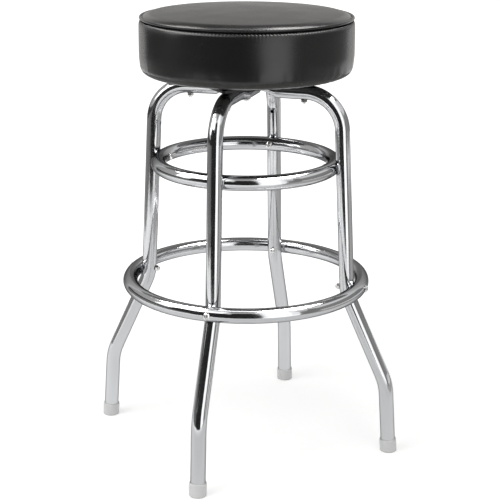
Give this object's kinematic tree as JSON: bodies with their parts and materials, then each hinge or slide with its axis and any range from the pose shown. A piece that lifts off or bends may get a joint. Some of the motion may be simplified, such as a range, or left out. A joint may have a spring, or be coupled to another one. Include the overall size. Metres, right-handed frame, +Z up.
{
  "type": "bar stool with footrest",
  "caption": "Backless bar stool: round padded swivel seat on a frame of crossing bent tubes with splayed legs, an inner upper ring and an outer footrest ring.",
  "frame": {"origin": "on the floor, on the seat's turning axis, midway between the four glides", "axes": "+Z up along the turning axis; legs on +X (right), -X (left), +Y (back) and -Y (front)"},
  "size_m": [0.5614, 0.5614, 0.7681],
  "materials": {
    "chrome_tube": "mirror-bright chrome plate on steel tube",
    "bright_fasteners": "bright plated steel",
    "glide_plastic": "moulded light grey plastic, semi-gloss",
    "black_steel": "black paint on pressed steel",
    "bearing_steel": "polished, greased",
    "cage_nylon": "moulded natural nylon",
    "plywood": "raw birch plywood",
    "seat_foam": "cut polyurethane foam",
    "piping_filler": "extruded filler cord",
    "black_vinyl": "smooth semi-gloss black vinyl",
    "staple_wire": "galvanised wire"
  },
  "bodies": {
    "base": {"leg_tube_left_right": "chrome_tube", "leg_tube_front_back": "chrome_tube", "upper_foot_ring": "chrome_tube", "lower_foot_ring": "chrome_tube", "lower_ring_bolts": "bright_fasteners", "lower_ring_cap_nuts": "bright_fasteners", "upper_ring_screws": "bright_fasteners", "upper_ring_rivet_nuts": "bright_fasteners", "cross_bolt": "bright_fasteners", "cross_cap_nut": "bright_fasteners", "plate_bolts": "bright_fasteners", "plate_cap_nuts": "bright_fasteners", "foot_glide_right": "glide_plastic", "foot_glide_back": "glide_plastic", "foot_glide_left": "glide_plastic", "foot_glide_front": "glide_plastic", "swivel_lower_plate": "black_steel", "swivel_hub": "black_steel"},
    "bearing": {"swivel_ball_cage": "cage_nylon", "swivel_balls": "bearing_steel"},
    "seat": {"swivel_upper_plate": "black_steel", "seat_screws": "bright_fasteners", "seat_tee_nuts": "bright_fasteners", "seat_board": "plywood", "seat_foam": "seat_foam", "seat_side_band": "black_vinyl", "seat_top_panel": "black_vinyl", "seat_piping": "black_vinyl", "seat_piping_cord": "piping_filler", "seat_staples": "staple_wire"}
  },
  "joints": [
    {"name": "seat_swivel", "type": "hinge", "parent": "base", "child": "seat", "pos_m": [0, 0, 0.654], "axis": [0, 0, 1], "continuous": true},
    {"name": "ball_cage_roll", "type": "hinge", "parent": "base", "child": "bearing", "pos_m": [0, 0, 0.654], "axis": [0, 0, 1], "continuous": true}
  ],
  "couplings": [
    {"joint": "ball_cage_roll", "follows": "seat_swivel", "ratio": 0.5}
  ]
}
